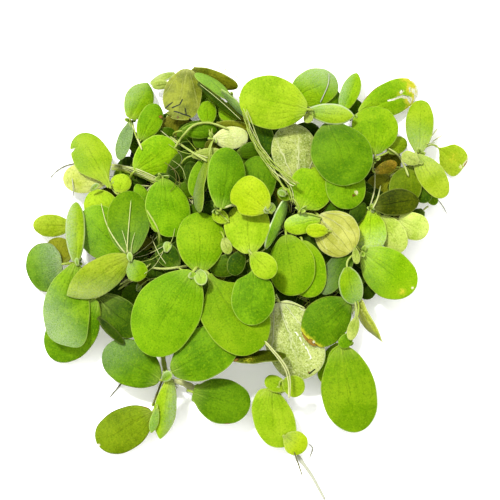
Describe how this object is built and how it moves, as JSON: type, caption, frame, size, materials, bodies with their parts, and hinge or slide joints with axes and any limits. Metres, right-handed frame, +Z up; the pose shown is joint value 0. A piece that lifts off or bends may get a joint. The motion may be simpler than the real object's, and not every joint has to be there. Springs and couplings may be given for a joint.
{
  "type": "water lettuce",
  "caption": "Colony of small floating rosettes with smooth oval leaves, joined by pale runners over a tangled mat of roots, lying on a surface.",
  "frame": {"origin": "on the flat underside of the root mat, where it rests, below the middle of the colony", "axes": "+Z up out of the surface it lies on; +X to the colony's right and +Y to its far side, seen from its front"},
  "size_m": [0.1349, 0.135, 0.0242],
  "materials": {
    "leaf_green": "satin, finely velvety leaf",
    "leaf_pale": "satin, pale young leaf",
    "leaf_dark": "satin, old or shaded leaf",
    "leaf_underside": "matte, ribbed underside of a leaf",
    "stem": "moist, pale stem, runner or thick root",
    "roots": "wet, feathery dark roots"
  },
  "bodies": {
    "root": {"centre_east_leaf_low": "leaf_green", "centre_east_leaf_notched": "leaf_green", "centre_east_leaf_spotted": "leaf_green", "centre_leaf_middle": "leaf_green", "centre_leaf_north_west": "leaf_green", "centre_leaf_south": "leaf_green", "centre_leaf_south_east": "leaf_green", "centre_leaf_south_west": "leaf_green", "centre_leaf_top": "leaf_green", "centre_leaf_upper": "leaf_green", "centre_west_leaf": "leaf_green", "east_leaf_dark": "leaf_dark", "east_leaf_large": "leaf_green", "east_leaf_low": "leaf_pale", "east_leaf_pale": "leaf_green", "east_leaf_turned": "leaf_underside", "far_east_leaf_inner": "leaf_green", "far_east_leaf_low": "leaf_green", "far_east_leaf_outer": "leaf_green", "far_east_leaf_upright": "leaf_green", "front_leaf_long": "leaf_green", "front_leaf_round": "leaf_green", "north_east_leaf_broad": "leaf_green", "north_east_leaf_large": "leaf_green", "north_east_leaf_torn": "leaf_green", "north_east_leaf_upright": "leaf_green", "north_leaf_large": "leaf_green", "north_leaf_olive": "leaf_dark", "north_leaf_sheen": "leaf_green", "north_leaf_turned": "leaf_underside", "north_west_leaf_ragged": "leaf_dark", "north_west_leaf_top": "leaf_green", "root_long": "stem", "root_mat": "roots", "runner_north": "stem", "runner_south": "stem", "south_east_leaf_burnt": "leaf_green", "south_east_leaf_folded": "leaf_underside", "south_east_leaf_long": "leaf_green", "south_leaf_broad": "leaf_green", "south_leaf_front": "leaf_green", "south_leaf_turned": "leaf_underside", "south_west_leaf_front": "leaf_green", "south_west_leaf_narrow": "leaf_pale", "south_west_leaf_round": "leaf_green", "south_west_leaf_under": "leaf_green", "stem_far_east": "stem", "stem_south_east": "stem", "stem_south_west": "stem", "stem_west": "stem", "upper_west_leaf_notched": "leaf_green", "upper_west_leaf_pale": "leaf_pale", "upper_west_leaf_round": "leaf_green", "west_leaf_bright": "leaf_green", "west_leaf_hanging": "leaf_green", "west_leaf_inner_low": "leaf_green", "west_leaf_inner_top": "leaf_green", "west_leaf_low": "leaf_green", "west_leaf_outer": "leaf_green", "west_leaf_upright": "leaf_pale"}
  },
  "joints": []
}
